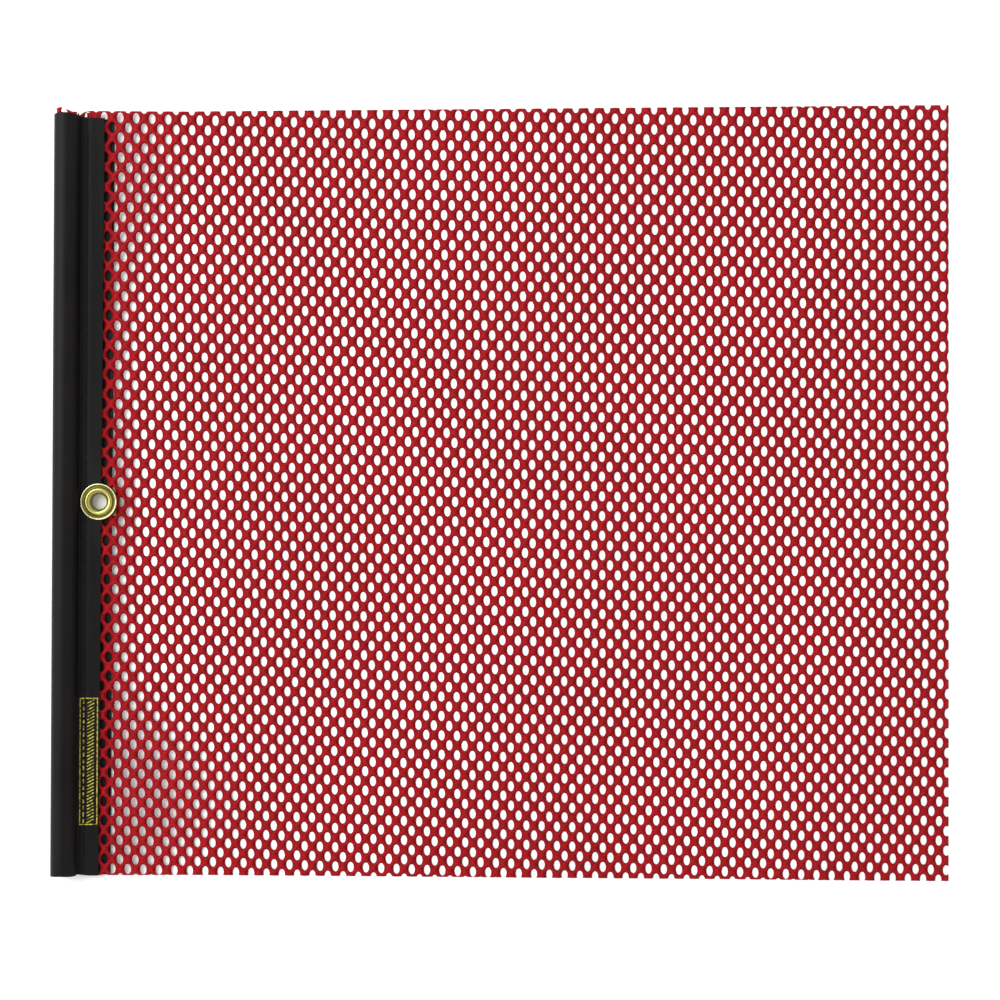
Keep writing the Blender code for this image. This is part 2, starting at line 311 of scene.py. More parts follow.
soft_box("hoist_side_light", (-1.5, 0.7, 1.6), size=2.0, power=56)
soft_box("fly_side_light_head", (1.5, 0.9, 1.5), size=1.2, power=2)
soft_box("fly_side_light_foot", (1.5, -0.9, 1.5), size=1.2, power=2)

# %% [markdown]
# ## Folded strips
#
# The vinyl and the cloth inside it are both strips folded round the staff: a front leg, a loop,
# and a back leg under the front one. In section that is two straight lines joined by most of a
# circle. Real material doesn't crease sharply, so the section is smoothed before it is used.

# %% The section of a folded strip
SECTION_STEP = 0.1 * MM


def even_steps(points, step):
    """The same line, with points spaced evenly along it."""
    lengths = np.linalg.norm(np.diff(points, axis=0), axis=1)
    reached = np.concatenate([[0.0], np.cumsum(lengths)])
    places = np.linspace(0.0, reached[-1], int(round(reached[-1] / step)) + 1)
    return np.stack([np.interp(places, reached, points[:, k]) for k in range(points.shape[1])], 1)


def smooth_line(points, reach):
    """Smooths a line by a bell curve of that reach, with its ends kept in place."""
    half = int(3 * reach / SECTION_STEP)
    offsets = np.arange(-half, half + 1) * SECTION_STEP
    weights = np.exp(-0.5 * (offsets / reach) ** 2)
    weights /= weights.sum()
    before = 2 * points[0] - points[half:0:-1]
    after = 2 * points[-1] - points[-2:-half - 2:-1]
    padded = np.vstack([before, points, after])
    return np.stack([np.convolve(padded[:, k], weights, "valid") for k in range(2)], 1)


class FoldedStrip:
    """The section of a strip: points (across, up) and normals, by distance along the strip."""

    def __init__(self, radius, front_end, front_up, back_end, back_up, softness):
        front_angle = math.asin((front_up - staff_height) / radius)
        back_angle = math.asin((back_up - staff_height) / radius) + 2 * math.pi
        turn = np.linspace(front_angle, back_angle, 400)
        loop = np.stack([radius * np.cos(turn), staff_height + radius * np.sin(turn)], 1)
        line = np.vstack([[(front_end, front_up)], loop, [(back_end, back_up)]])
        line = smooth_line(even_steps(line, SECTION_STEP), softness)
        self.points = even_steps(line, SECTION_STEP)
        tangent = np.gradient(self.points, axis=0)
        tangent /= np.linalg.norm(tangent, axis=1)[:, None]
        self.normals = np.stack([tangent[:, 1], -tangent[:, 0]], 1)
        self.length = (len(self.points) - 1) * SECTION_STEP
        self.places = np.arange(len(self.points)) * SECTION_STEP

    def at(self, distance, lift=0.0):
        """Points at distances along the strip, lifted off it on its outer side."""
        point = np.stack([np.interp(distance, self.places, self.points[:, k]) for k in range(2)], -1)
        normal = np.stack([np.interp(distance, self.places, self.normals[:, k]) for k in range(2)], -1)
        return point + normal * np.asarray(lift)[..., None]


LAYER_GAP = 0.3 * MM         # between the vinyl and what lies on it
back_vinyl_up = washer_high.z + LAYER_GAP + vinyl_thickness / 2
front_vinyl_up = seam_low.z - LAYER_GAP - vinyl_thickness / 2
hem_middle = (back_vinyl_up + front_vinyl_up) / 2
FRONT_LEG_EDGE = 20.5 * MM
BACK_LEG_EDGE = 25.7 * MM
vinyl_strip = FoldedStrip(
    bulb_radius - vinyl_thickness / 2, FRONT_LEG_EDGE, front_vinyl_up, BACK_LEG_EDGE, back_vinyl_up,
    softness=0.8 * MM,
)
print("vinyl strip is", round(vinyl_strip.length / MM, 1), "mm wide when flat")

# %% [markdown]
# ## The knit
#
# The cloth is a warp-knitted polyester net. Its holes stand in columns and rows, each row shifted
# half a step from the next. Cutting holes one by one would be slow, so each hole brings its own
# six-sided cell of cloth: a ring of points round the hole, and the cell's border, shared with its
# neighbours. The border is at the cloth's full thickness and the ring at its middle, so every
# strand is thick in the middle and thin at the hole. A side with no neighbour gets a wall. The knit
# is a little skewed, as such cloth always is: its rows fall towards the fly and fan apart, and its
# columns lean.

# %% The lattice of holes, in millimetres
COLUMN_STEP = 4.567          # from one column of holes to the next, half a step apart in height
ROW_STEP = 5.799
ROW_FALL = 0.1324            # how far a row falls with each column
ROW_FAN = 0.001035           # how much faster it falls with each row down
ROW_CROWD = 0.0015           # how much closer rows stand with each row down
COLUMN_LEAN = 0.0456         # how far a column leans with each row
COLUMN_FAN = 0.001493        # how much that lean changes with each column
COLUMN_BOW = 0.000356        # how much columns bow
COLUMN_CROWD = 0.000134      # how much closer columns stand towards the fly
MIDDLE_HOLE = (0.01, -5.98)


def lattice_point(column, row):
    """The place in the row frame of a point of the lattice, in metres."""
    across = (
        MIDDLE_HOLE[0] + COLUMN_STEP * column + COLUMN_LEAN * row
        - COLUMN_BOW * row ** 2 - COLUMN_FAN * column * row - COLUMN_CROWD * column ** 2
    )
    along = (
        MIDDLE_HOLE[1] - ROW_STEP * row - ROW_FALL * column
        + ROW_CROWD * row ** 2 - ROW_FAN * column * row
    )
    return np.stack([across, along], -1) * MM


# %% One cell of the knit
HOLE_WIDTH = 3.82
HOLE_HEIGHT = 6.18
HOLE_POINTS = 12
CORNER_ROW = 0.189           # where three cells meet, as a share of a row step from the hole
TIP_ROW = 0.811
CELL_BORDER = [
    (1, CORNER_ROW), (0.5, 0.5), (0, TIP_ROW), (-0.5, 0.5), (-1, CORNER_ROW),
    (-1, -CORNER_ROW), (-0.5, -0.5), (0, -TIP_ROW), (0.5, -0.5), (1, -CORNER_ROW),
]


def hole_ring():
    """Points round a hole, in columns and rows from its middle."""
    turn = np.arange(HOLE_POINTS) * 2 * math.pi / HOLE_POINTS
    across = HOLE_WIDTH / 2 * np.cos(turn) / COLUMN_STEP
    down = HOLE_HEIGHT / 2 * np.sin(turn) / ROW_STEP
    return np.stack([across, down], 1)


def bridge_rings(inner, outer):
    """Triangles (ring, index) between two rings of points that turn the same way."""
    def angles(ring):
        found = np.arctan2(ring[:, 1] * ROW_STEP, ring[:, 0] * COLUMN_STEP) % (2 * math.pi)
        return np.append(found, found[0] + 2 * math.pi)
    inner_angles, outer_angles = angles(inner), angles(outer)
    faces = []
    a = b = 0
    while a < len(inner) or b < len(outer):
        inner_first = a < len(inner) and inner_angles[a + 1] < outer_angles[min(b + 1, len(outer))]
        if b == len(outer) or inner_first:
            faces.append((("in", a), ("out", b), ("in", a + 1)))
            a += 1
        else:
            faces.append((("in", a), ("out", b), ("out", b + 1)))
            b += 1
    return faces


def knit_piece(name, columns, rows, keep):
    """Cloth cells as one mesh, lying flat in the row frame, for each hole that keep() allows."""
    ring = hole_ring()
    border = np.array(CELL_BORDER)
    faces_in_cell = bridge_rings(ring, border)
    places, heights, faces, known, segments = [], [], [], {}, {}

    def border_point(column, row):
        key = (round(column * 2), round(row * 1000))
        if key not in known:
            known[key] = len(places)
            places.extend([(column, row)] * 2)
            heights.extend([cloth_thickness / 2, -cloth_thickness / 2])
        return known[key]

    for column in columns:
        for row in rows:
            if (column + row) % 2 or not keep(lattice_point(column, row)):
                continue
            first = len(places)
            places.extend([(column + a, row + b) for a, b in ring])
            heights.extend([0.0] * HOLE_POINTS)
            rim = [border_point(column + a, row + b) for a, b in border]
            for start, stop in zip(rim, rim[1:] + rim[:1]):
                segments[start, stop] = True
            for triangle in faces_in_cell:
                top, bottom = [], []
                for kind, index in triangle:
                    if kind == "in":
                        top.append(first + index % HOLE_POINTS)
                        bottom.append(first + index % HOLE_POINTS)
                    else:
                        top.append(rim[index % len(border)])
                        bottom.append(rim[index % len(border)] + 1)
                faces.append(top[::-1])
                faces.append(bottom)
    for start, stop in segments:
        if (stop, start) not in segments:
            faces.append((start, stop, stop + 1, start + 1))
    places = np.array(places, float)
    points = lattice_point(places[:, 0], places[:, 1])
    points = np.column_stack([points, heights])
    return piece_from_arrays(name, points, faces)


# %% [markdown]
# ## How the flange sags
#
# The grommet's washer props the flange up where it stands. Away from it the flange is only held by
# the staff's bulb, so its free edge sags towards the table. One function gives that sag, and the
# cloth, the hem and the vinyl all take it, so they stay together.

# %% The sag
SAG = 1.5 * MM
SAG_STARTS = 8.0 * MM        # across from the staff's axis
SAG_FULL = 24.0 * MM
PROPPED_LENGTH = 32.0 * MM


def bell(value, middle, reach):
    return np.exp(-((value - middle) / reach) ** 2)


def smooth_step(value):
    value = np.clip(value, 0.0, 1.0)
    return value * value * (3 - 2 * value)


def sag(across, along):
    """How far the flange has come down at a place on it."""
    free = 1 - bell(along, grommet_at.y, PROPPED_LENGTH)
    return SAG * free * smooth_step((across - SAG_STARTS) / (SAG_FULL - SAG_STARTS))


# %% [markdown]
# ## Cloth round the grommet
#
# The grommet's barrel is driven through the knit. It breaks the mesh where it stands and pushes the
# strands round it aside. So the cells under the barrel are left out, and every point near it moves
# straight away from its axis, most where it is nearest.

# %% Making room for the barrel
BARREL_RADIUS = 5.25 * MM
PIERCED_RADIUS = 6.2 * MM
PUSHED_RADIUS = BARREL_RADIUS + 0.3 * MM
PUSH_REACH = 11.0 * MM


def clear_of_barrel(across, along):
    return math.hypot(across - grommet_at.x, along - grommet_at.y) > PIERCED_RADIUS


def push_aside(points):
    """Moves points, in hoist coordinates, away from the barrel."""
    offset = points[:, :2] - np.array(grommet_at.xy)
    distance = np.linalg.norm(offset, axis=1)
    share = np.clip(distance / PUSH_REACH, 0, 1)
    pushed = np.maximum(PUSHED_RADIUS + (PUSH_REACH - PUSHED_RADIUS) * share, distance)
    points[:, :2] = np.array(grommet_at.xy) + offset * (pushed / np.maximum(distance, 1e-9))[:, None]
    return points


# %% [markdown]
# ## Cutting the cloth
#
# A cutter trims the net with straight blades, through strands and holes alike, and leaves the
# edges raw. The bisect operator does the same: it cuts along a plane, clears what is outside,
# and closes each cut strand.


# %% Trimming with straight cuts
def trim(piece, through, outwards):
    """Cuts off all of a piece that lies outwards of a plane."""
    use_alone(piece)
    edit_all()
    bpy.ops.mesh.bisect(plane_co=through, plane_no=outwards, use_fill=True, clear_outer=True)
    bpy.ops.object.mode_set(mode="OBJECT")


panel_low, panel_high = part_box("mesh_panel")
fly_edge = panel_high.x
head_at_fly = Vector((fly_edge, panel_high.y, 0.0))
foot_at_fly = Vector((fly_edge, panel_low.y, 0.0))
head_at_hoist = hoist_to_row @ Vector((0.0, hem_high.y, 0.0))
foot_at_hoist = hoist_to_row @ Vector((0.0, hem_low.y, 0.0))
head_edge = (head_at_fly - head_at_hoist).normalized()
foot_edge = (foot_at_fly - foot_at_hoist).normalized()
head_out = Vector((-head_edge.y, head_edge.x, 0.0))
foot_out = Vector((foot_edge.y, -foot_edge.x, 0.0))
HEM_SPLIT = 17.0 * MM        # under the vinyl, where the free cloth and the hem are parted
split_at = hoist_to_row @ Vector((HEM_SPLIT, 0.0, 0.0))
MARGIN = 6 * MM


def inside_flag(point):
    x, y = point
    share = (x - head_at_hoist.x) / (fly_edge - head_at_hoist.x)
    head = head_at_hoist.y + share * (head_at_fly.y - head_at_hoist.y)
    foot = foot_at_hoist.y + share * (foot_at_fly.y - foot_at_hoist.y)
    return foot - MARGIN < y < head + MARGIN


def in_panel(point):
    """Whether a hole of the lattice belongs to the free cloth."""
    across, along, _up = row_to_hoist @ Vector((point[0], point[1], 0.0))
    inside = across > HEM_SPLIT - MARGIN and point[0] < fly_edge + MARGIN
    return inside and inside_flag(point) and clear_of_barrel(across, along)


COLUMNS_EACH_WAY = 64
ROWS_EACH_WAY = 46
all_columns = range(-COLUMNS_EACH_WAY, COLUMNS_EACH_WAY)
all_rows = range(-ROWS_EACH_WAY, ROWS_EACH_WAY)
cloth_panel = knit_piece("knitted_cloth", all_columns, all_rows, in_panel)
trim(cloth_panel, split_at, -across_hoist)
trim(cloth_panel, head_at_fly, head_out)
trim(cloth_panel, foot_at_fly, foot_out)
trim(cloth_panel, (fly_edge, 0.0, 0.0), (1.0, 0.0, 0.0))
print("cloth points", len(cloth_panel.data.vertices))

# %% [markdown]
# ## How the cloth lies
#
# The hem holds the cloth a few millimetres up, between the two vinyl legs. From there it comes
# down to the table: soon in the middle of the hoist, later at the head, and latest of all near
# the foot, where it stays up over a wide stretch and lets a soft shadow in under it.


# %% The cloth's height above the table
REST_UP = 0.4 * MM           # the middle of cloth that lies on the table
HEM_LAYERS_APART = 0.8 * MM
COME_DOWN = 26 * MM          # over which the cloth comes down from the hoist
FOOT_MORE = 75 * MM          # and how much farther out it comes down near the foot
FOOT_AT, FOOT_SPREAD = -180 * MM, 48 * MM
HEAD_MORE = 42 * MM          # and near the head
HEAD_AT, HEAD_SPREAD = 190 * MM, 50 * MM
SWELL = 0.8 * MM             # how far the cloth arches up near the foot
SWELL_ALONG, SWELL_LENGTH = -178 * MM, 45 * MM
SWELL_ACROSS, SWELL_WIDTH = 30 * MM, 26 * MM
SWELL_STARTS = 12 * MM
RIPPLE = 0.125 * MM
RIPPLE_ACROSS, RIPPLE_ALONG = 31 * MM, 43 * MM
RIPPLE_FULL = 80 * MM


def cloth_height(points):
    """The middle of the cloth above the table, for points in the row frame."""
    x, y = points[:, 0], points[:, 1]
    from_hoist = x - staff_middle.x - FRONT_LEG_EDGE - (y - staff_middle.y) * along_hoist.x
    reach = COME_DOWN + FOOT_MORE * bell(y, FOOT_AT, FOOT_SPREAD)
    reach += HEAD_MORE * bell(y, HEAD_AT, HEAD_SPREAD)
    fall = smooth_step(from_hoist / reach)
    held = hem_middle + HEM_LAYERS_APART / 2 - sag(from_hoist + FRONT_LEG_EDGE, y - staff_middle.y)
    swell = SWELL * bell(y, SWELL_ALONG, SWELL_LENGTH) * bell(from_hoist, SWELL_ACROSS, SWELL_WIDTH)
    swell *= smooth_step(from_hoist / SWELL_STARTS)
    ripple = RIPPLE * (1 + np.sin(x / RIPPLE_ACROSS + np.sin(y / RIPPLE_ALONG)))
    ripple *= np.clip(from_hoist / RIPPLE_FULL, 0, 1)
    return held * (1 - fall) + REST_UP * fall + swell + ripple


points = get_points(cloth_panel)
points[:, 2] += cloth_height(points)
set_points(cloth_panel, points)
cloth_panel.data.transform(row_to_hoist)
set_points(cloth_panel, push_aside(get_points(cloth_panel)))
cloth_panel.data.transform(hoist_to_row)
shade(cloth_panel)

# %% [markdown]
# ## The cloth's finish
#
# The yarn is dyed polyester, knitted in small loops. Polyester filament has a soft gloss and a
# fine sheen at grazing angles. The loops are about a millimetre high, so a bump of slanted loops
# at that size gives the strands their grain, and their dye varies slightly from place to place.


# %% Dyed polyester knit
LOOP_SIZE = 1.1 * MM
YARN_LOT = 4.0 * MM          # over which the dye takes a little more or less


def dyed_polyester_knit():
    """Red polyester filament knit: a soft, broken gloss and a slight sheen over small loops."""
    material, tree, shader = new_material(
        "dyed_polyester_knit", Roughness=0.6, Sheen_Weight=0.15, Sheen_Roughness=0.5,
        Sheen_Tint=linear("E03840"), Specular_IOR_Level=0.1,
    )
    place = object_coordinates(tree)
    loops = add_node(
        tree, "ShaderNodeTexVoronoi", {"Vector": place, "Scale": 1 / LOOP_SIZE, "Randomness": 0.55}
    ).outputs["Distance"]
    blotches = noise(tree, place, 14.0, 3.0)
    fibres = noise(tree, place, 1400.0, 2.0)
    mottle = noise(tree, place, 1 / YARN_LOT, 2.0)
    base_dye = colour_ramp(tree, blotches, [(0.3, "A40F1A"), (0.7, "AE121E")])
    uneven_dye = colour_ramp(tree, mottle, [(0.35, "E8D8FF"), (0.5, "FFFFFF"), (0.65, "FFF4D8")])
    dye = add_node(
        tree, "ShaderNodeMix", {0: 0.8, 6: base_dye, 7: uneven_dye}, data_type="RGBA",
        blend_type="MULTIPLY",
    ).outputs[2]
    yarn = colour_ramp(tree, loops, [(0.0, "FFFFFF"), (0.75, "B8A0A0")])
    colour = add_node(
        tree, "ShaderNodeMix", {6: dye, 7: yarn, 0: 0.9}, data_type="RGBA", blend_type="MULTIPLY"
    )
    tree.links.new(colour.outputs[2], shader.inputs["Base Color"])
    height = add_node(tree, "ShaderNodeMath", {0: loops, 1: fibres}, operation="SUBTRACT").outputs[0]
    add_bump(tree, shader, height, -0.15 * MM, 0.8)
    return material


knit_red = dyed_polyester_knit()
finish_piece(cloth_panel, knit_red, to_row=False)
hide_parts("mesh_panel")
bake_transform(cloth_panel)

# %% [markdown]
# ## The hem
#
# Inside the sleeve the same net runs on round the staff and back under itself. It is knitted flat
# like the rest, trimmed, and then wrapped: the distance across the flat cloth becomes distance
# along the folded section.

# %% The hem, wrapped round the staff
STAFF_ROOM = 0.25 * MM       # between the staff and the cloth round it
cloth_radius = staff_radius + STAFF_ROOM + cloth_thickness / 2
TAIL_END = 17.5 * MM
hem_strip = FoldedStrip(
    cloth_radius, HEM_SPLIT, hem_middle + HEM_LAYERS_APART / 2, TAIL_END,
    hem_middle - HEM_LAYERS_APART / 2, softness=0.6 * MM,
)
tail_at = hoist_to_row @ Vector((HEM_SPLIT - hem_strip.length, 0.0, 0.0))


def in_hem(point):
    """Whether a hole belongs to the hem; the barrel is looked for where the hole is wrapped to."""
    across, along, _up = row_to_hoist @ Vector((point[0], point[1], 0.0))
    inside = HEM_SPLIT - hem_strip.length - MARGIN < across < HEM_SPLIT + MARGIN
    wrapped_across = hem_strip.at(HEM_SPLIT - across)[0] if across < HEM_SPLIT else across
    return inside and inside_flag(point) and clear_of_barrel(wrapped_across, along)


HEM_FOOT_TRIM = 1.2 * MM      # the hem was cut back a little at the foot
HEM_DRAW = 2.4 * MM           # and beside the staff it draws in at both ends
HEM_DRAW_AT = 4.5 * MM
HEM_DRAW_REACH = 4.5 * MM
HEM_COLUMNS = range(-COLUMNS_EACH_WAY - 20, 0)
hem = knit_piece("knitted_hem", HEM_COLUMNS, all_rows, in_hem)
trim(hem, split_at, across_hoist)
trim(hem, tail_at, -across_hoist)
trim(hem, head_at_hoist, head_out)
trim(hem, foot_at_hoist + along_hoist * HEM_FOOT_TRIM, foot_out)
hem.data.transform(row_to_hoist)
flat = get_points(hem)
wrapped = hem_strip.at(HEM_SPLIT - flat[:, 0], flat[:, 2])
wrapped_up = wrapped[:, 1] - sag(wrapped[:, 0], flat[:, 1])
drawn_in = HEM_DRAW / hem_high.y * bell(wrapped[:, 0], HEM_DRAW_AT, HEM_DRAW_REACH)
wrapped_along = flat[:, 1] * (1 - drawn_in)
set_points(hem, push_aside(np.column_stack([wrapped[:, 0], wrapped_along, wrapped_up])))
shade(hem)
finish_piece(hem, knit_red)
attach(hem, "hoist")
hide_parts("mesh_hem")

# %% [markdown]
# ## The vinyl sleeve
#
# The binding is one strip of heavy vinyl, calendered smooth, folded round the staff's pocket and
# sewn through both legs. The lockstitch pulls it down into a shallow channel with a pucker at
# every needle hole. The strip is laid out as a grid along its section and given its thickness
# by Solidify. The front leg is a little wider at the head than at the foot.

# %% The vinyl, folded and puckered
STITCH_PITCH = 5.8 * MM
CHANNEL_DEPTH = 0.22 * MM
PUCKER_DEPTH = 0.16 * MM
CHANNEL_REACH = 1.1 * MM
ACROSS_STEP = 0.75 * MM
ALONG_STEP = 1.45 * MM
LEG_AT_FOOT = 19.4 * MM      # the front leg's edge from the staff's axis, at the sleeve's foot
LEG_TAPER = 1.3 * MM         # and how much further it is at the head
FOOT_SHORT = 1.9 * MM        # the foot was cut a little short over the pocket
FOOT_LONG = 0.8 * MM         # and a little long at the flange
HEAD_LONG = 0.5 * MM         # and the head a little long over the pocket
END_REACH = 30 * MM          # how far from an end its cut pulls the strip
POCKET_REACH = 9 * MM
WAVE = 0.12 * MM             # the front leg waves a little along the hoist
WAVE_ALONG = 17 * MM
WAVE_AT, WAVE_REACH = 17 * MM, 5 * MM
sleeve_length = sleeve_high.y - sleeve_low.y
sleeve_middle = (sleeve_high.y + sleeve_low.y) / 2


def vinyl_sleeve():
    """The strip's middle surface, as a grid of points over its section and its length."""
    columns = int(vinyl_strip.length / ACROSS_STEP)
    rows = int(sleeve_length / ALONG_STEP)
    distance = np.linspace(0.0, vinyl_strip.length, columns + 1)
    share = np.linspace(0.0, 1.0, rows + 1)
    along = sleeve_low.y + share * sleeve_length
    distance, along_grid = np.meshgrid(distance, along)
    section = vinyl_strip.at(distance)
    across, up = section[..., 0].copy(), section[..., 1].copy()
    front = (distance < vinyl_strip.length * 0.25) & (across > bulb_radius)
    back = (distance > vinyl_strip.length * 0.75) & (across > bulb_radius)
    leg = LEG_AT_FOOT + LEG_TAPER * (along_grid - sleeve_low.y) / sleeve_length
    stretch = (leg - bulb_radius) / (FRONT_LEG_EDGE - bulb_radius)
    across[front] = bulb_radius + (across[front] - bulb_radius) * stretch[front]
    channel = bell(across, seam_across, CHANNEL_REACH)
    pucker = 0.5 + 0.5 * np.cos(2 * math.pi * (along_grid - sleeve_middle) / STITCH_PITCH)
    sink = channel * (CHANNEL_DEPTH + PUCKER_DEPTH * pucker)
    wave = WAVE * np.sin(along_grid / WAVE_ALONG) * bell(across, WAVE_AT, WAVE_REACH)
    up = np.where(front, up - sink + wave, np.where(back, up + 0.5 * sink, up))
    up = up - sag(across, along_grid)
    near_foot = np.clip(1 - (along_grid - sleeve_low.y) / END_REACH, 0, 1)
    near_head = np.clip(1 - (sleeve_high.y - along_grid) / END_REACH, 0, 1)
    over_pocket = bell(across, 0, POCKET_REACH)
    along_grid = along_grid + near_foot * (FOOT_SHORT * over_pocket - FOOT_LONG)
    along_grid += near_head * HEAD_LONG * over_pocket
    points = np.stack([across, along_grid, up], -1).reshape(-1, 3)
    index = np.arange((rows + 1) * (columns + 1)).reshape(rows + 1, columns + 1)
    faces = np.stack([index[:-1, :-1], index[1:, :-1], index[1:, 1:], index[:-1, 1:]], -1)
    return piece_from_arrays("vinyl_sleeve", points, faces.reshape(-1, 4))


sleeve = vinyl_sleeve()
wall = sleeve.modifiers.new("wall", "SOLIDIFY")
wall.thickness = vinyl_thickness
wall.offset = 0.0
apply_modifiers(sleeve)
bevel = sleeve.modifiers.new("cut_edge", "BEVEL")
bevel.width = 0.12 * MM
bevel.segments = 2
bevel.limit_method = "ANGLE"
bevel.angle_limit = math.radians(50)
apply_modifiers(sleeve)


# %% The grommet's hole through the vinyl
def punch(piece, radius):
    """Punches the grommet's hole with a cylinder, as the setting tool does."""
    deselect_all()
    bpy.ops.mesh.primitive_cylinder_add(
        vertices=64, radius=radius, depth=40 * MM, location=(grommet_at.x, grommet_at.y, 0.0)
    )
    cutter = bpy.context.active_object
    hole = piece.modifiers.new("grommet_hole", "BOOLEAN")
    hole.object = cutter
    hole.operation = "DIFFERENCE"
    apply_modifiers(piece)
    bpy.data.objects.remove(cutter, do_unlink=True)


punch(sleeve, BARREL_RADIUS)
shade(sleeve, 40)
sleeve_surface = BVHTree.FromPolygons(
    [vert.co.copy() for vert in sleeve.data.vertices],
    [tuple(face.vertices) for face in sleeve.data.polygons],
)


# %% Calendered vinyl
def calendered_vinyl():
    """Black PVC, satin, with a fine leathery grain and faint handling marks."""
    material, tree, shader = new_material(
        "calendered_vinyl", Base_Color=linear("0F0E0E"), Specular_IOR_Level=0.1,
    )
    place = object_coordinates(tree)
    smears = noise(tree, place, 30.0, 5.0)
    gloss = add_node(
        tree, "ShaderNodeMapRange", {"Value": smears, "To Min": 0.42, "To Max": 0.55}
    ).outputs["Result"]
    tree.links.new(gloss, shader.inputs["Roughness"])
    colour = colour_ramp(tree, smears, [(0.3, "0D0C0C"), (0.75, "141312")])
    tree.links.new(colour, shader.inputs["Base Color"])
    grain = noise(tree, place, 900.0, 3.0)
    add_bump(tree, shader, grain, 0.04 * MM, 0.5)
    return material


vinyl_black = calendered_vinyl()
finish_piece(sleeve, vinyl_black)
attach(sleeve, "hoist")
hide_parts("hoist_sleeve")

# %% [markdown]
# ## Laying things on the vinyl
#
# The stitches and the printed mark lie on the vinyl and follow its channel and puckers. Each is
# first made flat, and then a ray is cast straight down on the sleeve from above every point, or
# straight up from below for the back, and the point is set that much off the vinyl's surface.


# %% The helper that lays a piece on the sleeve
RAY_START = 50 * MM


def lay_on_sleeve(piece, side=1):
    """Lifts each point by the sleeve's surface under it; side 1 is the front and -1 the back."""
    points = get_points(piece)
    for point in points:
        start = Vector((point[0], point[1], side * RAY_START))
        hit = sleeve_surface.ray_cast(start, Vector((0.0, 0.0, -side)))[0]
        if hit is not None:
            point[2] = hit.z + side * point[2]
    set_points(piece, points)


def join_pieces(name, pieces):
    """Joins pieces into one, which keeps the first one's mesh data under the new name."""
    deselect_all()
    for piece in pieces:
        piece.select_set(True)
    bpy.context.view_layer.objects.active = pieces[0]
    bpy.ops.object.join()
    pieces[0].name = name
    return pieces[0]


# %% [markdown]
# ## The lockstitch
#
# One thread runs along the front and one along the back, and they lock inside the layers at every
# needle hole. So each side shows a row of short floats that dive into the vinyl at both ends. One
# float is a cylinder, cut into slices by bisect, its ends bent down. It is then copied along the
# row. The grommet was set over the seam, so no stitch shows within its rim.

# %% One float of thread
THREAD_RADIUS = 0.27 * MM
FLOAT_LENGTH = 5.2 * MM
FLOAT_SLICES = 6
FLOAT_TAPER = 0.25           # how much narrower a float is at its ends
FLOAT_RISE = 0.8             # how high its middle stands, in thread radii
FLOAT_DIVE = 2.2             # and how far its ends go down from there
SEAM_END = 3 * MM            # where the seam stops short of the sleeve's ends


def thread_float():
    """A short cylinder of thread along the hoist, its two ends bent down."""
    deselect_all()
    bpy.ops.mesh.primitive_cylinder_add(
        vertices=8, radius=THREAD_RADIUS, depth=FLOAT_LENGTH, rotation=(math.pi / 2, 0.0, 0.0)
    )
    float_piece = bpy.context.active_object
    bpy.ops.object.transform_apply(rotation=True)
    bpy.ops.object.mode_set(mode="EDIT")
    for slice_number in range(1, FLOAT_SLICES):
        bpy.ops.mesh.select_all(action="SELECT")
        cut = (slice_number / FLOAT_SLICES - 0.5) * FLOAT_LENGTH
        bpy.ops.mesh.bisect(plane_co=(0.0, cut, 0.0), plane_no=(0.0, 1.0, 0.0))
    bpy.ops.object.mode_set(mode="OBJECT")
    points = get_points(float_piece)
    share = np.abs(points[:, 1]) / (FLOAT_LENGTH / 2)
    points[:, 0] *= 1 - FLOAT_TAPER * share ** 2
    points[:, 2] += THREAD_RADIUS * FLOAT_RISE - FLOAT_DIVE * THREAD_RADIUS * share ** 4
    set_points(float_piece, points)
    return float_piece


# %% A row of floats
def stitch_row(name, side, cover_radius):
    """The floats on one side, leaving out those under the rim or the washer."""
    pattern = thread_float()
    count = int((sleeve_length / 2 - SEAM_END) / STITCH_PITCH)
    covered = math.sqrt(cover_radius ** 2 - (grommet_at.x - seam_across) ** 2)
    floats = []
    for number in range(-count, count):
        middle = sleeve_middle + (number + 0.5) * STITCH_PITCH
        if abs(middle - grommet_at.y) < covered + FLOAT_LENGTH / 2:
            continue
        stitch = pattern.copy()
        stitch.data = pattern.data.copy()
        stitch.data.transform(Matrix.Translation((seam_across, middle, 0.0)))
        scene.collection.objects.link(stitch)
        floats.append(stitch)
    bpy.data.objects.remove(pattern, do_unlink=True)
    row = join_pieces(name, floats)
    lay_on_sleeve(row, side)
    if side < 0:
        use_alone(row)
        edit_all()
        bpy.ops.mesh.flip_normals()
        bpy.ops.object.mode_set(mode="OBJECT")
    shade(row, 50)
    print(name, len(floats), "stitches")
    return row


# %% Bonded polyester thread
THREAD_TWIST = 0.5 * MM


def bonded_thread():
    """Black polyester thread with a bonded, waxy coat: its plies show as fine slanted ridges."""
    material, tree, shader = new_material(
        "bonded_polyester_thread", Base_Color=linear("100F0F"), Roughness=0.5,
        Specular_IOR_Level=0.1,
    )
    turned = add_node(
        tree, "ShaderNodeMapping", {"Vector": object_coordinates(tree), "Rotation": (0.0, 0.0, 0.7)}
    ).outputs["Vector"]
    plies = add_node(
        tree, "ShaderNodeTexWave", {"Vector": turned, "Scale": 0.31 / THREAD_TWIST, "Distortion": 0.5}
    ).outputs["Fac"]
    colour = colour_ramp(tree, plies, [(0.0, "0A0909"), (1.0, "161515")])
    tree.links.new(colour, shader.inputs["Base Color"])
    add_bump(tree, shader, plies, 0.06 * MM, 0.7)
    return material


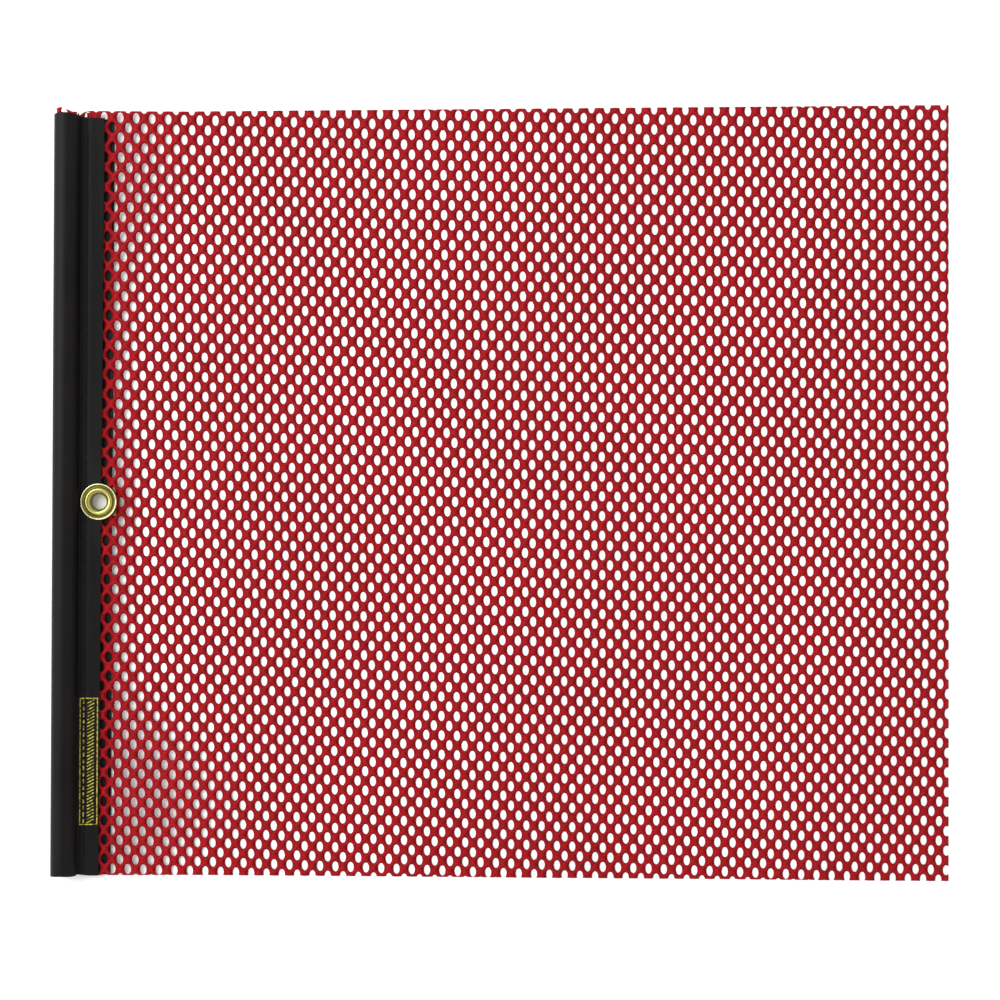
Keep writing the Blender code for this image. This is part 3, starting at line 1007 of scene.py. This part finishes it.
thread_black = bonded_thread()
rim_radius = (eyelet_high.x - eyelet_low.x) / 2
washer_radius = (washer_high.x - washer_low.x) / 2
needle_stitches = stitch_row("needle_stitches", 1, rim_radius)
finish_piece(needle_stitches, thread_black)
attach(needle_stitches, "hoist")
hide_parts("needle_thread_head", "needle_thread_foot")
bobbin_stitches = stitch_row("bobbin_stitches", -1, washer_radius)
finish_piece(bobbin_stitches, thread_black)
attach(bobbin_stitches, "hoist")
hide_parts("bobbin_thread_head", "bobbin_thread_foot")

# %% [markdown]
# ## The grommet
#
# The eyelet is one disc of sheet brass, drawn into a barrel with a ringed rim. Its section is
# traced by extruding a single point from step to step, spun once round the hole's axis, and given
# the sheet's thickness by Solidify. A subdivision rounds every bend as a press does.

# %% The eyelet's section, as distances from the hole's axis and heights, in millimetres
SPIN_STEPS = 32
BRASS_SHEET = 0.5 * MM
rim_under = (front_vinyl_up + vinyl_thickness / 2 + LAYER_GAP) / MM
EYELET_SECTION = [
    (7.0, 0.45), (5.6, 0.32), (4.9, 0.9), (4.85, 2.4), (4.85, rim_under - 0.6),
    (5.0, rim_under + 0.1), (5.4, rim_under + 0.62), (6.05, rim_under + 1.08),
    (6.8, rim_under + 1.36), (7.45, rim_under + 1.3), (7.95, rim_under + 0.85),
    (8.3, rim_under + 0.32), (8.7, rim_under + 0.15), (9.55, rim_under + 0.15),
    (9.9, rim_under + 0.4), (10.15, rim_under + 0.85), (10.5, rim_under + 0.85),
    (10.68, rim_under + 0.35),
]


def spun_piece(name, section):
    """Extrudes a point along a section and spins the line round the vertical axis."""
    deselect_all()
    bpy.ops.mesh.primitive_plane_add(size=MM)
    piece = bpy.context.active_object
    piece.name = name
    edit_all()
    bpy.ops.mesh.merge(type="CENTER")
    bpy.ops.transform.translate(value=(section[0][0] * MM, 0.0, section[0][1] * MM))
    for (out, up), (next_out, next_up) in zip(section, section[1:]):
        step = ((next_out - out) * MM, 0.0, (next_up - up) * MM)
        bpy.ops.mesh.extrude_region_move(TRANSFORM_OT_translate={"value": step})
    bpy.ops.mesh.select_all(action="SELECT")
    bpy.ops.mesh.spin(steps=SPIN_STEPS, angle=2 * math.pi, center=(0, 0, 0), axis=(0, 0, 1))
    bpy.ops.mesh.select_all(action="SELECT")
    bpy.ops.mesh.remove_doubles(threshold=0.01 * MM)
    bpy.ops.mesh.normals_make_consistent(inside=False)
    bpy.ops.object.mode_set(mode="OBJECT")
    return piece


# %% The eyelet
eyelet = spun_piece("brass_eyelet", EYELET_SECTION)
sheet = eyelet.modifiers.new("sheet", "SOLIDIFY")
sheet.thickness = BRASS_SHEET
sheet.offset = 0.0
rounding = eyelet.modifiers.new("rounding", "SUBSURF")
rounding.levels = 2
rounding.render_levels = 2
apply_modifiers(eyelet)
shade(eyelet)
eyelet.data.transform(Matrix.Translation((grommet_at.x, grommet_at.y, 0.0)))


# %% Spun brass
BARREL_OUT = 4.5              # millimetres from the grommet's axis
RIM_OUT = 11.0


def ring_share(out):
    """How far a distance from the axis lies between the barrel and the rim, 0 to 1."""
    return (out - BARREL_OUT) / (RIM_OUT - BARREL_OUT)


def spun_brass():
    """Yellow brass, pressed and tumbled bright: greenish gold, with painted shade inside the barrel,
    painted shade over a little tarnish in the groove, and a painted highlight on the rim."""
    material, tree, shader = new_material("spun_brass", Metallic=1.0, Base_Color=linear("A39A5C"))
    centre = hoist_to_row @ grommet_at
    place = add_node(
        tree, "ShaderNodeMapping",
        {
            "Vector": object_coordinates(tree), "Scale": (1, 1, 0),
            "Location": (-centre.x, -centre.y, 0),
        },
    ).outputs["Vector"]
    from_axis = add_node(
        tree, "ShaderNodeVectorMath", {0: place}, operation="LENGTH"
    ).outputs["Value"]
    across_ring = add_node(
        tree, "ShaderNodeMapRange",
        {"Value": from_axis, "From Min": BARREL_OUT * MM, "From Max": RIM_OUT * MM},
    ).outputs["Result"]
    # The ramp paints light and shade into the colour: darker towards the barrel as painted shade, dark in
    # the groove as painted shade over a little tarnish, and pale on the rim's bead as a painted highlight.
    colour = colour_ramp(tree, across_ring, [
        (ring_share(4.7), "8C8442"), (ring_share(6.6), "ABA35C"), (ring_share(7.9), "ABA35C"),
        (ring_share(8.4), "5A5824"), (ring_share(9.5), "5A5824"), (ring_share(9.95), "D6D2A2"),
    ])
    tree.links.new(colour, shader.inputs["Base Color"])
    wear = noise(tree, place, 320.0, 2.0)
    gloss = add_node(
        tree, "ShaderNodeMapRange", {"Value": wear, "To Min": 0.2, "To Max": 0.3}
    ).outputs["Result"]
    tree.links.new(gloss, shader.inputs["Roughness"])
    return material


brass = spun_brass()
finish_piece(eyelet, brass)
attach(eyelet, "hoist")
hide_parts("grommet_eyelet")
washer = frame["nodes"]["grommet_washer"]
for material_slot in washer.material_slots:
    material_slot.material = brass

# %% [markdown]
# ## The printed mark
#
# A warning flag's maker prints a mark on the sleeve in yellow ink. This one is a plain frame with a
# ladder of slanted bars and a row of dashes. Each stroke is a grid primitive, made the stroke's
# size in edit mode, turned and moved to its place. The strokes are laid on the vinyl and given the
# ink's thickness.

# %% Strokes of ink
INK_THICKNESS = 0.06 * MM
INK_LIFT = 0.02 * MM
STROKE = 0.62 * MM
MARK_LOW = Vector((8.6, -192.8)) * MM
MARK_HIGH = Vector((18.4, -118.8)) * MM
GRID_STEP = 1.2 * MM
BAR_COUNT = 38
BAR_WIDTH = 0.7 * MM
BAR_LENGTH = 4.4 * MM
BAR_ANGLE = math.radians(62)
BAR_ACROSS = 14.6 * MM
DASH_LENGTH = 2.4 * MM
DASH_ACROSS = 10.6 * MM


def ink_stroke(middle, width, length, angle=0.0):
    """A flat stroke of ink, its length along the hoist until it is turned by the angle."""
    deselect_all()
    bpy.ops.mesh.primitive_grid_add(
        x_subdivisions=2, y_subdivisions=max(2, int(length / GRID_STEP)), size=1.0
    )
    stroke = bpy.context.active_object
    edit_all()
    bpy.ops.transform.resize(value=(width, length, 1.0), center_override=(0, 0, 0))
    bpy.ops.transform.rotate(value=angle, orient_axis="Z", center_override=(0, 0, 0))
    bpy.ops.transform.translate(value=(middle[0], middle[1], 0.0))
    bpy.ops.object.mode_set(mode="OBJECT")
    return stroke


def printed_mark():
    middle = (MARK_LOW + MARK_HIGH) / 2
    size = MARK_HIGH - MARK_LOW
    strokes = [
        ink_stroke((MARK_LOW.x, middle.y), STROKE, size.y + STROKE),
        ink_stroke((MARK_HIGH.x, middle.y), STROKE, size.y + STROKE),
        ink_stroke((middle.x, MARK_LOW.y), STROKE, size.x - STROKE, math.pi / 2),
        ink_stroke((middle.x, MARK_HIGH.y), STROKE, size.x - STROKE, math.pi / 2),
    ]
    for number in range(1, BAR_COUNT):
        along = MARK_LOW.y + number * size.y / BAR_COUNT
        strokes.append(ink_stroke((BAR_ACROSS, along), BAR_WIDTH, BAR_LENGTH, BAR_ANGLE))
        if number % 2:
            strokes.append(ink_stroke((DASH_ACROSS, along), BAR_WIDTH, DASH_LENGTH))
    mark = join_pieces("printed_mark", strokes)
    points = get_points(mark)
    points[:, 2] = INK_LIFT
    set_points(mark, points)
    lay_on_sleeve(mark)
    film = mark.modifiers.new("film", "SOLIDIFY")
    film.thickness = INK_THICKNESS
    film.offset = 1.0
    apply_modifiers(mark)
    return mark


# %% Screen ink
def screen_ink():
    """Yellow vinyl ink, printed thin, so black shows through where it is sparse."""
    material, tree, shader = new_material(
        "screen_ink", Base_Color=linear("C8BE34"), Roughness=0.5, Specular_IOR_Level=0.3
    )
    place = object_coordinates(tree)
    sparse = noise(tree, place, 700.0, 3.0)
    colour = colour_ramp(tree, sparse, [(0.4, "4F4B10"), (0.62, "BDB340")])
    tree.links.new(colour, shader.inputs["Base Color"])
    add_bump(tree, shader, sparse, 0.02 * MM, 0.6)
    return material


mark = printed_mark()
finish_piece(mark, screen_ink())
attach(mark, "hoist")

# %% [markdown]
# ## The staff
#
# The staff is a birch dowel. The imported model's rod has the right shape, so it stays and only gets
# its wood: fine grain drawn out along the rod, darker growth bands, and end grain at its ends.


# %% Turned birch
def turned_birch():
    """Birch, turned and left bare: pale, even and matt, with fine grain along the rod."""
    material, tree, shader = new_material(
        "turned_birch", Roughness=0.55, Specular_IOR_Level=0.35
    )
    place = add_node(
        tree, "ShaderNodeMapping",
        {
            "Vector": object_coordinates(tree), "Scale": (1.0, 0.04, 1.0),
            "Location": (-staff_middle.x, 0.0, -staff_middle.z),
        },
    ).outputs["Vector"]
    grain = noise(tree, place, 900.0, 4.0)
    bands = add_node(
        tree, "ShaderNodeTexWave", {"Vector": place, "Scale": 260.0, "Distortion": 4.0, "Detail": 2.0},
        wave_type="RINGS", rings_direction="Y",
    ).outputs["Fac"]
    wood = colour_ramp(tree, bands, [(0.2, "C9A877"), (0.8, "DDC297")])
    streaks = colour_ramp(tree, grain, [(0.35, "D8C7AE"), (0.6, "FFFFFF")])
    colour = add_node(
        tree, "ShaderNodeMix", {0: 0.8, 6: wood, 7: streaks}, data_type="RGBA", blend_type="MULTIPLY"
    ).outputs[2]
    tree.links.new(colour, shader.inputs["Base Color"])
    add_bump(tree, shader, grain, 0.08 * MM, 0.5)
    return material


birch = turned_birch()
for material_slot in frame["nodes"]["staff_rod"].material_slots:
    material_slot.material = birch
